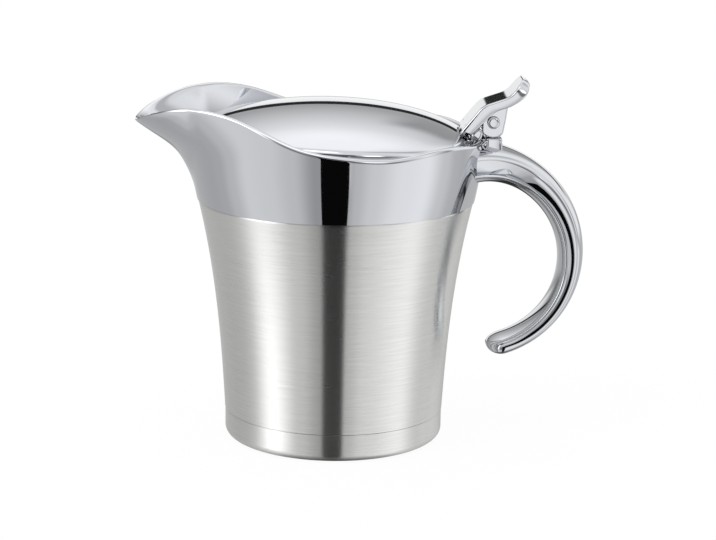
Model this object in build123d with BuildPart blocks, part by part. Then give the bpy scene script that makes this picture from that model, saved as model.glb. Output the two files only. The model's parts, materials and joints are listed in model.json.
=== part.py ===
from build123d import *
from math import asin, cos, degrees, radians, sin, sqrt
import os

os.makedirs("parts", exist_ok=True)

# Frame: millimetres, +Z up, origin at the centre of the flat base.
# The spout points to -X and the handle to +X.

# Cup
base_cap_r = 40.75
base_corner_w = 2.95
base_corner_h = 3.1
base_line_z = 10.6
base_floor = 1.0
cap_wall = 0.9
cap_spigot_h = 4.0
base_line_step = 0.15
base_chamfer = 0.3
seam_z = 90.2
taper_share = 0.45
flare_power = 2.6
shell_wall = 0.8
neck_step = 1.8
neck_h = 6.8
air_gap = 5.2
liner_wall = 0.8
liner_floor_z = 16.0
liner_corner_r = 8.0
spacer_r = 25.0
spacer_wall = 1.5
seat_clearance = 0.05

# Collar and spout
rim_r = 54.0
rim_flare = 3.0
skirt_step = 0.35
collar_h = 23.8
collar_wall = 2.2
nose_r = 18.0
gasket_t = 1.0
seal_edge = 0.2
throat_t = 2.0
ledge_drop = 3.4
ledge_t = 2.0
ledge_w = 4.2
ledge_half_angle = 130
shell_seal_t = 0.9
shell_seal_h = 1.8
shell_seal_z = 2.9
# Spout: height above the seam, and how far the nose stands out beyond the round mouth
spout_profile = [
    (0.0, 0.1), (4.5, 0.3), (9.0, 1.2), (13.5, 2.9), (17.5, 5.4), (21.0, 9.3),
    (25.0, 15.3), (29.0, 21.1), (34.0, 28.0), (39.0, 34.5),
]
# Rim line seen from the side: share of the mouth's reach to spout or handle, height above the seam
rim_line = [
    (-1.05, 25.6), (-0.985, 29.4), (-0.87, 34.0), (-0.65, 37.1), (-0.43, 34.0), (-0.2, 27.4),
    (0.1, 23.7), (0.4, 23.0), (0.84, 24.6), (0.95, 23.4), (1.1, 22.9),
]

# Lid
lid_gap = 1.4
lid_front = 2.0
lid_nose_r = 30.0
dome_x = -4.0
dome_h = 14.7
dome_over = 7.6
dome_b = 20.0
lid_seat_gap = 0.15
lid_wall = 1.0
lid_rim_wall = 1.3
lid_liner_t = 0.8
lid_liner_gap = 0.1
lid_seal_t = 0.35
lid_seal_w = 1.6
foam_t = 6.0
foam_r = 38.0

# Handle: an open C between two circles, the outer one moved up so that the top is thicker
handle_set_in = 1.5
handle_in_r = 30.4
handle_t = 10.15
handle_out_dx = -0.85
handle_out_dz = 2.75
cover_share = 0.3
parting_gap = 0.05
handle_w = 18.0
cover_inset = 0.3
handle_wall = 1.8
handle_end_deg = -71.0
handle_tip = 6.5
root_start_deg = 55.0
root_end_deg = 97.0
root_spread = 11.0
root_rise = 1.5
root_drop = 1.2
root_inside_deg = 4.0
root_low = 7.8
root_screw_r = 1.5
root_screw_head_r = 2.4
root_screw_head_h = 1.6
root_screw_y = 8.0
root_screw_rise = 2.6
root_screw_cover = 0.9
root_screw_l = 9.0
root_hole_extra = 0.5
screw_chamfer = 0.4
head_clearance = 0.2
rib_w = 5.0
rib_h = 2.5
rib_end_deg = 1.5

# Hinge
pin_out = 3.1
pin_rise = 5.8
pin_r = 1.2
pin_head_r = 2.3
pin_head_h = 1.2
running_gap = 0.05
bush_wall = 0.4
eye_r = 2.4
post_gap = 0.4
post_t = 6.2
post_half_w = 7.4
post_top_gap = 0.3
tongue_half_w = 4.0
tongue_gap = 0.2
cheek_r = 5.6
cheek_back = 4.6
cheek_front = 2.6
cheek_top = [(5.2, 6.2), (0.0, 4.5), (-2.6, 2.2)]

# Thumb lever: outline points as offsets from the pin in X and Z
lever_w = 19.0
lever_tip_r = 6.0
lever_top = [(-11.5, -2.7), (-8.7, 1.1), (-4.9, 5.4), (-2.4, 6.9), (2.0, 8.2), (5.2, 9.6), (8.2, 12.6), (10.6, 16.0)]
lever_under = [(13.2, 14.3), (11.8, 10.6), (8.4, 7.5), (4.6, 5.6), (1.2, 4.4), (-1.6, 2.2), (-5.3, -1.6), (-7.9, -4.2)]
knuckle_x = -5.1
knuckle_z = -4.6
knuckle_rx = 1.5
knuckle_rz = 3.1
knuckle_half_w = 8.3
notch_gap = 0.7
lever_screw_in = 4.0
lever_screw_y = 5.5
lever_screw_r = 1.2
lever_screw_head_r = 2.0
lever_screw_head_h = 0.8
lever_screw_l = 4.6

# Places worked out from the sizes above
base_flat_r = base_cap_r - base_corner_w
cup_low_r = base_cap_r + base_line_step
seam_r = rim_r - rim_flare
skirt_r = seam_r + skirt_step
rim_z = seam_z + collar_h
neck_r = seam_r - neck_step
neck_top_z = seam_z + neck_h
flange_top_z = neck_top_z + liner_wall
throat_z = flange_top_z + gasket_t
ledge_z = rim_z - ledge_drop
reach = rim_r + spout_profile[7][1]
lid_r = rim_r - collar_wall - lid_gap
lid_nose_x = rim_r + lid_front - lid_nose_r
lid_rim_z = ledge_z + lid_seat_gap + lid_seal_t
dome_top_z = lid_rim_z + dome_h
dome_a = lid_r + dome_over
handle_x = rim_r - handle_set_in
handle_z = seam_z + root_low - handle_in_r
handle_out_r = handle_in_r + handle_t
pin_x = rim_r + pin_out
pin_z = rim_z + pin_rise
post_x0 = rim_r + post_gap
post_x1 = post_x0 + post_t
post_top_z = pin_z - cheek_r - post_top_gap
cheek_out_y = post_half_w
cheek_in_y = tongue_half_w + tongue_gap
notch_z = pin_z + knuckle_z - knuckle_rz - notch_gap
lever_screw_x = lid_r - lever_screw_in
root_screw_seat = rim_r - collar_wall - root_screw_cover


def shell_radius(z):
    """Outer radius of the brushed wall: a straight taper that flares more towards the collar."""
    t = max(0.0, (z - base_line_z) / (seam_z - base_line_z))
    return cup_low_r + (seam_r - cup_low_r) * (taper_share * t + (1 - taper_share) * t ** flare_power)


def wall_points(inset, low_z, high_z, count=6):
    """Points up a wall that lies inside the brushed wall's face by the inset."""
    heights = [low_z + (high_z - low_z) * i / (count - 1) for i in range(count)]
    return [(shell_radius(z) - inset, z) for z in heights]


def collar_radius(z):
    """Outer radius of the round part of the collar: it bells out to the rim."""
    t = min(1.0, (z - seam_z) / collar_h)
    return rim_r - (rim_r - skirt_r) * (1 - t) ** 2


def tangent_outline(radius, nose_centre, nose):
    """A circle about the cup's axis joined by two tangent lines to a smaller circle on the spout side."""
    lean = asin((radius - nose) / nose_centre)
    big_x, big_y = -radius * sin(lean), radius * cos(lean)
    small_x, small_y = -nose_centre - nose * sin(lean), nose * cos(lean)
    with BuildLine() as outline:
        ThreePointArc((big_x, big_y), (radius, 0), (big_x, -big_y))
        Line((big_x, -big_y), (small_x, -small_y))
        ThreePointArc((small_x, -small_y), (-nose_centre - nose, 0), (small_x, small_y))
        Line((small_x, small_y), (big_x, big_y))
    make_face(outline.edges())


def mouth_section(height, stand_out, inset):
    """Collar section at a height above the seam, drawn in from its outer face by the inset."""
    radius = collar_radius(seam_z + height)
    tangent_outline(radius - inset, radius + stand_out - nose_r, nose_r - inset)


def lid_outline(inset):
    tangent_outline(lid_r - inset, lid_nose_x, lid_nose_r - inset)


def dome_face(drop):
    """Half section of the lid's dome, lowered by the drop, for turning about the dome's own axis."""
    top = dome_top_z - drop
    reach_a = dome_a - drop
    with BuildLine() as outline:
        EllipticalCenterArc((dome_x, top - dome_b), reach_a, dome_b, start_angle=0, arc_size=90)
        Polyline((dome_x, top), (dome_x, top - dome_b), (dome_x + reach_a, top - dome_b))
    make_face(outline.edges())


def handle_radii(degrees_up):
    """Distance from the handle's centre to its parting line and to its outer circle, at an angle."""
    a = radians(degrees_up)
    along = handle_out_dx * cos(a) + handle_out_dz * sin(a)
    outer = along + sqrt(handle_out_r ** 2 - handle_out_dx ** 2 - handle_out_dz ** 2 + along ** 2)
    return handle_in_r + cover_share * (outer - handle_in_r), outer


dome_axis = Axis((dome_x, 0, 0), (0, 0, 1))
root_parting_z = handle_z + handle_radii(90)[0]
root_screw_z = root_parting_z + root_screw_rise

# Outer wall of the cup, stepped in at the top to carry the collar
with BuildPart() as outer_shell:
    with BuildSketch(Plane.XZ):
        with BuildLine():
            Spline(*wall_points(0, base_line_z, seam_z))
            Line((seam_r, seam_z), (neck_r, seam_z))
            Line((neck_r, seam_z), (neck_r, neck_top_z))
            Line((neck_r, neck_top_z), (neck_r - shell_wall, neck_top_z))
            Line((neck_r - shell_wall, neck_top_z), (neck_r - shell_wall, seam_z - shell_wall))
            inner = Spline(*wall_points(shell_wall, seam_z - shell_wall, base_line_z))
            Line((neck_r - shell_wall, seam_z - shell_wall), inner @ 0)
            Line(inner @ 1, (cup_low_r, base_line_z))
        make_face()
    revolve(axis=Axis.Z)

# Bottom cap with the flat standing face and a spigot inside the wall
spigot_r = cup_low_r - shell_wall - seat_clearance
with BuildPart() as base_cap:
    with BuildSketch(Plane.XZ):
        with BuildLine():
            Line((0, 0), (base_flat_r, 0))
            Spline((base_flat_r, 0), (base_cap_r, base_corner_h), tangents=[(1, 0), (0, 1)])
            Polyline(
                (base_cap_r, base_corner_h), (base_cap_r, base_line_z - base_chamfer),
                (base_cap_r - base_chamfer, base_line_z), (spigot_r, base_line_z),
                (spigot_r, base_line_z + cap_spigot_h), (spigot_r - cap_wall, base_line_z + cap_spigot_h),
                (spigot_r - cap_wall, base_corner_h + base_floor), (base_flat_r - cap_wall, base_floor),
                (0, base_floor), (0, 0),
            )
        make_face()
    revolve(axis=Axis.Z)

# Inner cup, with a flange that rests on the outer wall's neck
liner_inset = shell_wall + air_gap
liner_low_z = liner_floor_z + liner_corner_r
liner_low_r = shell_radius(liner_low_z) - liner_inset
with BuildPart() as inner_liner:
    with BuildSketch(Plane.XZ):
        with BuildLine():
            Line((0, liner_floor_z), (liner_low_r - liner_corner_r, liner_floor_z))
            RadiusArc((liner_low_r - liner_corner_r, liner_floor_z), (liner_low_r, liner_low_z), -liner_corner_r)
            outside = Spline(*wall_points(liner_inset, liner_low_z, neck_top_z))
            Polyline(outside @ 1, (neck_r, neck_top_z), (neck_r, flange_top_z))
            inside = Spline(*wall_points(liner_inset + liner_wall, flange_top_z, liner_low_z))
            Line((neck_r, flange_top_z), inside @ 0)
            corner_r = liner_corner_r - liner_wall
            RadiusArc(inside @ 1, (liner_low_r - liner_corner_r, liner_floor_z + liner_wall), corner_r)
            Polyline((liner_low_r - liner_corner_r, liner_floor_z + liner_wall), (0, liner_floor_z + liner_wall),
                     (0, liner_floor_z))
        make_face()
    revolve(axis=Axis.Z)

# Moulded ring between the base cap and the liner's floor
with BuildPart() as liner_spacer:
    with BuildSketch(Plane.XZ):
        with BuildLine():
            Polyline(
                (spacer_r - spacer_wall, base_floor), (spacer_r + 2 * spacer_wall, base_floor),
                (spacer_r + 2 * spacer_wall, base_floor + spacer_wall), (spacer_r, base_floor + spacer_wall),
                (spacer_r, liner_floor_z - spacer_wall), (spacer_r + spacer_wall, liner_floor_z - spacer_wall),
                (spacer_r + spacer_wall, liner_floor_z), (spacer_r - spacer_wall, liner_floor_z),
                (spacer_r - spacer_wall, base_floor),
            )
        make_face()
    revolve(axis=Axis.Z)

# Seal between the liner's flange and the collar
throat_r = shell_radius(flange_top_z) - liner_inset - liner_wall
with BuildPart() as liner_seal:
    with BuildSketch(Plane.XY.offset(flange_top_z)):
        Circle(neck_r)
        Circle(throat_r + seal_edge, mode=Mode.SUBTRACT)
    extrude(amount=gasket_t)

# Seal between the outer wall's neck and the collar's skirt
with BuildPart() as shell_seal:
    with BuildSketch(Plane.XY.offset(seam_z + shell_seal_z + seat_clearance)):
        Circle(neck_r + seat_clearance + shell_seal_t)
        Circle(neck_r + seat_clearance, mode=Mode.SUBTRACT)
    extrude(amount=shell_seal_h - 2 * seat_clearance)

# Collar: lofted mouth with the spout, hollowed, then cut along the rim line
bore_r = neck_r + 2 * seat_clearance
with BuildPart() as collar:
    for height, stand_out in spout_profile:
        with BuildSketch(Plane.XY.offset(seam_z + height)):
            mouth_section(height, stand_out, 0)
    loft()
    throat_h = throat_z + throat_t - seam_z
    hollow = [(h, s) for h, s in spout_profile if h > throat_h + 1]
    hollow = [(throat_h, spout_profile[2][1])] + hollow
    for height, stand_out in hollow:
        with BuildSketch(Plane.XY.offset(seam_z + height)):
            mouth_section(height, stand_out, collar_wall)
    loft(mode=Mode.SUBTRACT)
    with BuildSketch(Plane.XZ):
        with BuildLine():
            Polyline((0, seam_z), (bore_r, seam_z), (bore_r, seam_z + shell_seal_z),
                     (bore_r + shell_seal_t, seam_z + shell_seal_z),
                     (bore_r + shell_seal_t, seam_z + shell_seal_z + shell_seal_h),
                     (bore_r, seam_z + shell_seal_z + shell_seal_h), (bore_r, throat_z), (throat_r, throat_z),
                     (throat_r, throat_z + throat_t), (0, throat_z + throat_t), (0, seam_z))
        make_face()
    revolve(axis=Axis.Z, mode=Mode.SUBTRACT)
    # Ledge for the lid, left open at the spout
    with BuildSketch(Plane.XZ.rotated((0, 0, -ledge_half_angle))):
        with BuildLine():
            Polyline((rim_r - collar_wall - ledge_w, ledge_z), (rim_r - collar_wall / 2, ledge_z),
                     (rim_r - collar_wall / 2, ledge_z - ledge_t - ledge_w / 2),
                     (rim_r - collar_wall - ledge_w, ledge_z - ledge_t),
                     (rim_r - collar_wall - ledge_w, ledge_z))
        make_face()
    revolve(axis=Axis.Z, revolution_arc=2 * ledge_half_angle)
    with BuildSketch(Plane.XZ):
        top_z = seam_z + 2 * spout_profile[-1][0]
        with BuildLine():
            points = [(x * (reach if x < 0 else rim_r), seam_z + h) for x, h in rim_line]
            rim = Spline(*points)
            Polyline(rim @ 1, (2 * rim_r, points[-1][1]), (2 * rim_r, top_z), (-2 * reach, top_z),
                     (-2 * reach, points[0][1]), rim @ 0)
        make_face()
    extrude(amount=2 * rim_r, both=True, mode=Mode.SUBTRACT)
    # Notch in the rear rim, where the lever's neck dips behind the lid
    with BuildSketch(Plane.YZ.offset(lid_r - lid_rim_wall)):
        with Locations((0, notch_z)):
            Rectangle(2 * (knuckle_half_w + notch_gap), collar_h, align=(Align.CENTER, Align.MIN))
    extrude(amount=2 * ledge_w + collar_wall, mode=Mode.SUBTRACT)
    # Holes and flat seats for the two screws into the handle
    with BuildSketch(Plane.YZ.offset(root_screw_seat - root_screw_head_h - 1)):
        with Locations((root_screw_y, root_screw_z), (-root_screw_y, root_screw_z)):
            Circle(root_screw_head_r + head_clearance)
    extrude(amount=root_screw_head_h + 1, mode=Mode.SUBTRACT)
    with BuildSketch(Plane.YZ.offset(root_screw_seat)):
        with Locations((root_screw_y, root_screw_z), (-root_screw_y, root_screw_z)):
            Circle(root_screw_r + seat_clearance)
    extrude(amount=3 * collar_wall, mode=Mode.SUBTRACT)

# Body that the handle and its screws are cut with: the collar's outer face as a solid of revolution
collar_heights = [collar_h * i / 5 for i in range(6)]
root_face = seat_clearance
with BuildPart() as collar_core:
    with BuildSketch(Plane.XZ):
        with BuildLine():
            flank = Spline(*[(collar_radius(seam_z + h) + root_face, seam_z + h) for h in collar_heights])
            Polyline(flank @ 1, (rim_r + root_face, rim_z + collar_h), (0, rim_z + collar_h), (0, seam_z),
                     flank @ 0)
        make_face()
    revolve(axis=Axis.Z)


def handle_plane(degrees_up):
    """Plane square to the handle at an angle about its centre: local X points outwards, local Y along Y."""
    a = radians(degrees_up)
    return Plane(origin=(handle_x, 0, handle_z), x_dir=(cos(a), 0, sin(a)), z_dir=(-sin(a), 0, cos(a)))


def half_section(half_w, split, top):
    """Half oval from the parting line at the split radius to the top radius, outwards or inwards."""
    with BuildLine() as outline:
        Bezier((split, -half_w), (split + 0.55 * (top - split), -half_w), (top, -0.55 * half_w), (top, 0))
        Bezier((top, 0), (top, 0.55 * half_w), (split + 0.55 * (top - split), half_w), (split, half_w))
        Line((split, half_w), (split, -half_w))
    make_face(outline.edges())


def root_share(degrees_up):
    """How far the handle has grown into its root at an angle: 0 along the grip, 1 at the collar."""
    return max(0.0, (degrees_up - root_start_deg) / (root_end_deg - root_start_deg)) ** 2


def handle_section(degrees_up, outwards, share):
    """Section of the handle's shell, outwards, or of its cover, drawn in to the share of its full size."""
    parting, outer = handle_radii(degrees_up)
    grow = root_share(degrees_up)
    half_w = handle_w / 2 + root_spread * grow
    top = outer + root_rise * grow
    if not outwards:
        half_w = half_w - cover_inset
        top = handle_in_r - root_drop * grow
        parting = parting - parting_gap
    half_section(half_w * share, parting, parting + (top - parting) * share)


grip_deg = root_start_deg - handle_end_deg
grip_angles = [handle_end_deg + grip_deg * i / 5 for i in range(5)]
root_deg = root_end_deg + root_inside_deg - root_start_deg
root_angles = [root_start_deg + root_deg * i / 5 for i in range(6)]
tip_steps = 5
end_parting_r, end_outer_r = handle_radii(handle_end_deg)
axis_y = Axis((handle_x, 0, handle_z), (0, 1, 0))


def handle_half(outwards):
    """Solid of one half of the handle, from its rounded free end to inside the collar."""
    tip_l = handle_tip if outwards else handle_tip - cover_inset
    tip_deg = degrees(tip_l / end_parting_r)
    with BuildPart() as half:
        for angle in grip_angles + root_angles:
            with BuildSketch(handle_plane(angle)):
                handle_section(angle, outwards, 1)
        loft()
        for step in range(tip_steps + 1):
            angle = handle_end_deg - tip_deg * step / tip_steps
            with BuildSketch(handle_plane(angle)):
                handle_section(angle, outwards, sqrt(1 - (0.985 * step / tip_steps) ** 2))
        loft()
    return half.part


grip_outer = handle_half(True)
grip_inner = handle_half(False)

# Outer half of the handle with the hinge post and its tongue
channel_r = end_parting_r - 1
with BuildPart() as handle_shell:
    add(grip_outer)
    # Channel inside the grip, where the cover's rib fits
    with BuildSketch(handle_plane(root_start_deg)):
        half_section(handle_w / 2 - handle_wall, channel_r, end_outer_r - handle_wall)
    revolve(axis=axis_y, revolution_arc=grip_deg, mode=Mode.SUBTRACT)
    with BuildSketch(Plane.XZ):
        with BuildLine():
            Polyline((post_x0, root_parting_z), (post_x1, root_parting_z), (post_x1, post_top_z),
                     (post_x0, post_top_z), (post_x0, root_parting_z))
        make_face()
    extrude(amount=post_half_w, both=True)
    with BuildSketch(Plane.XZ):
        with BuildLine():
            Polyline((pin_x - eye_r, pin_z), (pin_x - eye_r, root_parting_z), (pin_x + eye_r, root_parting_z),
                     (pin_x + eye_r, pin_z))
            ThreePointArc((pin_x + eye_r, pin_z), (pin_x, pin_z + eye_r), (pin_x - eye_r, pin_z))
        make_face()
    extrude(amount=tongue_half_w, both=True)
    add(collar_core.part, mode=Mode.SUBTRACT)
    with BuildSketch(Plane.XZ):
        with Locations((pin_x, pin_z)):
            Circle(pin_r + running_gap + bush_wall)
    extrude(amount=post_half_w, both=True, mode=Mode.SUBTRACT)
    with BuildSketch(Plane.YZ.offset(root_screw_seat)):
        with Locations((root_screw_y, root_screw_z), (-root_screw_y, root_screw_z)):
            Circle(root_screw_r + seat_clearance)
    extrude(amount=root_screw_l + root_hole_extra, mode=Mode.SUBTRACT)

# Inner half of the handle, with a rib that fits the channel
with BuildPart() as handle_cover:
    add(grip_inner)
    with BuildSketch(handle_plane(root_start_deg - rib_end_deg)):
        with Locations((channel_r, 0)):
            Rectangle(end_parting_r + rib_h - channel_r, rib_w, align=(Align.MIN, Align.CENTER))
    revolve(axis=axis_y, revolution_arc=grip_deg - 2 * rib_end_deg)
    add(collar_core.part, mode=Mode.SUBTRACT)

# Two screws from inside the collar into the handle's root
with BuildPart() as handle_screws:
    with BuildSketch(Plane.YZ.offset(root_screw_seat)):
        with Locations((root_screw_y, root_screw_z), (-root_screw_y, root_screw_z)):
            Circle(root_screw_r)
    extrude(amount=root_screw_l)
    with BuildSketch(Plane.YZ.offset(root_screw_seat)):
        with Locations((root_screw_y, root_screw_z), (-root_screw_y, root_screw_z)):
            Circle(root_screw_head_r)
    extrude(amount=-root_screw_head_h)
    chamfer(faces().sort_by(Axis.X)[:2].edges(), screw_chamfer)

# Plain bush in the tongue's eye
with BuildPart() as hinge_bush:
    with BuildSketch(Plane.XZ):
        with Locations((pin_x, pin_z)):
            Circle(pin_r + running_gap + bush_wall)
            Circle(pin_r + running_gap, mode=Mode.SUBTRACT)
    extrude(amount=tongue_half_w, both=True)

# Where the lever's foot is screwed down: a point of the dome's face and the direction square to it
foot_share = (lever_screw_x - dome_x) / dome_a
foot_root = sqrt(1 - foot_share ** 2)
foot_z = dome_top_z - dome_b * (1 - foot_root)
foot_slope = dome_b * foot_share / (dome_a * foot_root)
foot_plane = Plane(origin=(lever_screw_x, 0, foot_z), x_dir=(1, 0, -foot_slope), z_dir=(foot_slope, 0, 1))

# Solid bounded by the dome above and the lid's outline around
with BuildPart() as dome_solid:
    with BuildSketch(Plane.XZ):
        dome_face(0)
    revolve(axis=dome_axis)
with BuildPart() as dome_hollow:
    with BuildSketch(Plane.XZ):
        dome_face(lid_wall)
    revolve(axis=dome_axis)
    with BuildSketch(Plane.XY.offset(lid_rim_z - 2 * lid_wall)):
        lid_outline(lid_rim_wall)
    extrude(amount=dome_top_z - lid_rim_z, mode=Mode.INTERSECT)

# Lid's domed top with its turned-down rim
with BuildPart() as lid_cover:
    with BuildSketch(Plane.XY.offset(lid_rim_z)):
        lid_outline(0)
    extrude(amount=dome_top_z - lid_rim_z + 1)
    add(dome_solid.part, mode=Mode.INTERSECT)
    add(dome_hollow.part, mode=Mode.SUBTRACT)
    with BuildSketch(foot_plane):
        with Locations((0, lever_screw_y), (0, -lever_screw_y)):
            Circle(lever_screw_r + seat_clearance)
    extrude(amount=2 * lid_wall, both=True, mode=Mode.SUBTRACT)

# Lid's inner plate
with BuildPart() as lid_liner:
    with BuildSketch(Plane.XY.offset(lid_rim_z)):
        lid_outline(lid_rim_wall + lid_liner_gap)
    extrude(amount=lid_liner_t)

# Foam between the lid's plates
with BuildPart() as lid_insulation:
    with BuildSketch(Plane.XY.offset(lid_rim_z + lid_liner_t)):
        with Locations((dome_x, 0)):
            Circle(foam_r)
    extrude(amount=foam_t)

# Ring under the lid's rim
with BuildPart() as lid_seal:
    with BuildSketch(Plane.XY.offset(lid_rim_z - lid_seal_t)):
        lid_outline(seal_edge)
    extrude(amount=lid_seal_t)
    with BuildSketch(Plane.XY.offset(lid_rim_z - lid_seal_t)):
        lid_outline(seal_edge + lid_seal_w)
    extrude(amount=lid_seal_t, mode=Mode.SUBTRACT)

# Thumb lever with the neck below it and two cheeks that carry the pin
with BuildPart() as thumb_lever:
    with BuildSketch(Plane.XZ.offset(-lever_w / 2)):
        with BuildLine():
            over = Spline(*[(pin_x + x, pin_z + z) for x, z in lever_top])
            under = Spline(*[(pin_x + x, pin_z + z) for x, z in lever_under])
            Line(over @ 1, under @ 0)
            Line(under @ 1, over @ 0)
        make_face()
    extrude(amount=lever_w)
    tip_face = faces().sort_by(Axis.X)[-1]
    fillet(tip_face.edges().filter_by(Axis.Y, reverse=True), lever_tip_r)
    with BuildSketch(Plane.XZ.offset(-knuckle_half_w)):
        with Locations((pin_x + knuckle_x, pin_z + knuckle_z)):
            Ellipse(knuckle_rx, knuckle_rz)
    extrude(amount=2 * knuckle_half_w)
    for side in (cheek_in_y, -cheek_out_y):
        with BuildSketch(Plane.XZ.offset(-side - cheek_out_y + cheek_in_y)):
            with BuildLine():
                Polyline(
                    (pin_x + cheek_back, pin_z), *[(pin_x + x, pin_z + z) for x, z in cheek_top],
                    (pin_x - cheek_front, pin_z - cheek_r), (pin_x, pin_z - cheek_r),
                )
                ThreePointArc(
                    (pin_x, pin_z - cheek_r),
                    (pin_x + cheek_back * sqrt(0.5), pin_z - cheek_r * sqrt(0.5)),
                    (pin_x + cheek_back, pin_z),
                )
            make_face()
        extrude(amount=cheek_out_y - cheek_in_y)
    add(dome_solid.part, mode=Mode.SUBTRACT)
    with BuildSketch(Plane.XZ):
        with Locations((pin_x, pin_z)):
            Circle(pin_r)
    extrude(amount=lever_w, both=True, mode=Mode.SUBTRACT)
    with BuildSketch(foot_plane):
        with Locations((0, lever_screw_y), (0, -lever_screw_y)):
            Circle(lever_screw_r)
    extrude(amount=lever_screw_l - lid_wall, mode=Mode.SUBTRACT)

# Two screws from inside the lid into the lever's foot
under_root = sqrt(1 - ((lever_screw_x - dome_x) / (dome_a - lid_wall)) ** 2)
cover_t = lid_wall + dome_b * (foot_root - under_root)
head_top = -cover_t - seat_clearance
with BuildPart() as lever_screws:
    with BuildSketch(foot_plane.offset(head_top)):
        with Locations((0, lever_screw_y), (0, -lever_screw_y)):
            Circle(lever_screw_r)
    extrude(amount=lever_screw_l)
    with BuildSketch(foot_plane.offset(head_top)):
        with Locations((0, lever_screw_y), (0, -lever_screw_y)):
            Circle(lever_screw_head_r)
    extrude(amount=-lever_screw_head_h)

# Hinge pin with a domed head on each side
with BuildPart() as hinge_pin:
    with BuildSketch(Plane.XZ):
        with Locations((pin_x, pin_z)):
            Circle(pin_r)
    extrude(amount=cheek_out_y, both=True)
    for side in (-1, 1):
        with BuildSketch(Plane.XZ.offset(side * cheek_out_y)):
            with Locations((pin_x, pin_z)):
                Circle(pin_head_r)
        extrude(amount=side * pin_head_h)
    fillet(faces().sort_by(Axis.Y)[0].edges() + faces().sort_by(Axis.Y)[-1].edges(), 0.8 * pin_head_h)

for item, name in (
    (outer_shell, "outer_shell"), (base_cap, "base_cap"), (inner_liner, "inner_liner"),
    (liner_spacer, "liner_spacer"), (liner_seal, "liner_seal"), (shell_seal, "shell_seal"), (collar, "collar"),
    (handle_shell, "handle_shell"), (handle_cover, "handle_cover"), (handle_screws, "handle_screws"),
    (hinge_bush, "hinge_bush"), (lid_cover, "lid_cover"), (lid_liner, "lid_liner"),
    (lid_insulation, "lid_insulation"), (lid_seal, "lid_seal"), (thumb_lever, "thumb_lever"),
    (lever_screws, "lever_screws"), (hinge_pin, "hinge_pin"),
):
    item.part.label = name
    export_step(item.part, f"parts/{name}.step")
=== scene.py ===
import json
import math

import bmesh
import bpy
import numpy as np
from bpy.props import FloatProperty, FloatVectorProperty, PointerProperty
from mathutils import Matrix, Vector


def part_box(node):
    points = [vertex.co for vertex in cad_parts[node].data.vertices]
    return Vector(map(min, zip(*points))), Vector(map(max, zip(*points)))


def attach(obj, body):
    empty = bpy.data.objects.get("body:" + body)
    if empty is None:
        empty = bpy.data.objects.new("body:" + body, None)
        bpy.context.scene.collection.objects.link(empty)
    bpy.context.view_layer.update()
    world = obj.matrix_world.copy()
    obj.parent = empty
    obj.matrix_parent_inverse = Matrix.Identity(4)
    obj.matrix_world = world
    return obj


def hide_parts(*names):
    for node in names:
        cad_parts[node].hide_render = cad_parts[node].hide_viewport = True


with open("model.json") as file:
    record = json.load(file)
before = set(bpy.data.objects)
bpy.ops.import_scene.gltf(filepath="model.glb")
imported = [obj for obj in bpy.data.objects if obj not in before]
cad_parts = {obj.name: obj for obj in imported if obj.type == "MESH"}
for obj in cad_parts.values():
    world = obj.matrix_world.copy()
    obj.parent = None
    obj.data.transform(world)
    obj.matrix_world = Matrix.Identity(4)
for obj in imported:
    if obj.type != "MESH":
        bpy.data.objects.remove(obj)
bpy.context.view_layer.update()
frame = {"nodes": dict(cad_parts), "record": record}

bl_info = {
    "name": "Insulated sauce jug",
    "version": (1, 0, 0),
    "blender": (4, 5, 0),
    "location": "View3D > Sidebar > Jug",
    "description": "Finishes the packed sauce jug: brushed cup, chrome collar, handle, lid and thumb lever",
    "category": "Object",
}

MM = 0.001

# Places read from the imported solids, in metres
seam_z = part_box("collar")[0].z
base_line_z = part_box("outer_shell")[0].z
seam_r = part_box("outer_shell")[1].x
cap_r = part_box("base_cap")[1].x
rim_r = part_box("collar")[1].y
lid_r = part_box("lid_cover")[1].y
lid_front_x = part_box("lid_cover")[0].x
lid_rim_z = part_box("lid_cover")[0].z
dome_top_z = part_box("lid_cover")[1].z
pin_low, pin_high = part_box("hinge_pin")
pin_x = (pin_low.x + pin_high.x) / 2
pin_z = (pin_low.z + pin_high.z) / 2
pin_head_r = (pin_high.x - pin_low.x) / 2
pin_end_y = pin_high.y
throat_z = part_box("liner_seal")[1].z
seal_gap = 0.15 * MM
ledge_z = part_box("lid_seal")[0].z - seal_gap

# Cup: the wall widens evenly for taper_share of its flare and ever faster for the rest. The neck stands on it,
# inside the collar, and the cap's spigot stands in its lower end
cup_low_r = cap_r + 0.15 * MM
taper_share = 0.45
flare_power = 2.6
shell_wall = 0.8 * MM
neck_r = seam_r - 1.8 * MM
neck_top_z = seam_z + 6.8 * MM
cap_flat_r = cap_r - 2.95 * MM
cap_corner_h = 3.1 * MM
cap_edge = 0.3 * MM
cap_wall = 0.9 * MM
cap_floor_z = 1.0 * MM
spigot_r = cup_low_r - shell_wall - 0.05 * MM
spigot_z = base_line_z + 4.0 * MM

# Radius of the small ring at the middle of a turned face, and its share of the way out on the lid's dome
centre_r = 0.2 * MM
centre_share = 0.004

# Collar: a round wall, and a smaller nose of nose_r that stands out of it to make the spout
collar_h = 23.8 * MM
skirt_r = seam_r + 0.35 * MM
nose_r = 18.0 * MM
throat_r = 43.9 * MM
throat_t = 2.0 * MM
bore_r = neck_r + 0.1 * MM

# How far the nose stands out at each height above the seam, in millimetres
spout_profile = [
    (0.0, 0.1), (4.5, 0.3), (9.0, 1.2), (13.5, 2.9), (17.5, 5.4), (21.0, 9.3),
    (25.0, 15.3), (29.0, 21.1), (34.0, 28.0), (39.0, 34.5),
]
least_stand_out = 0.1

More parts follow.
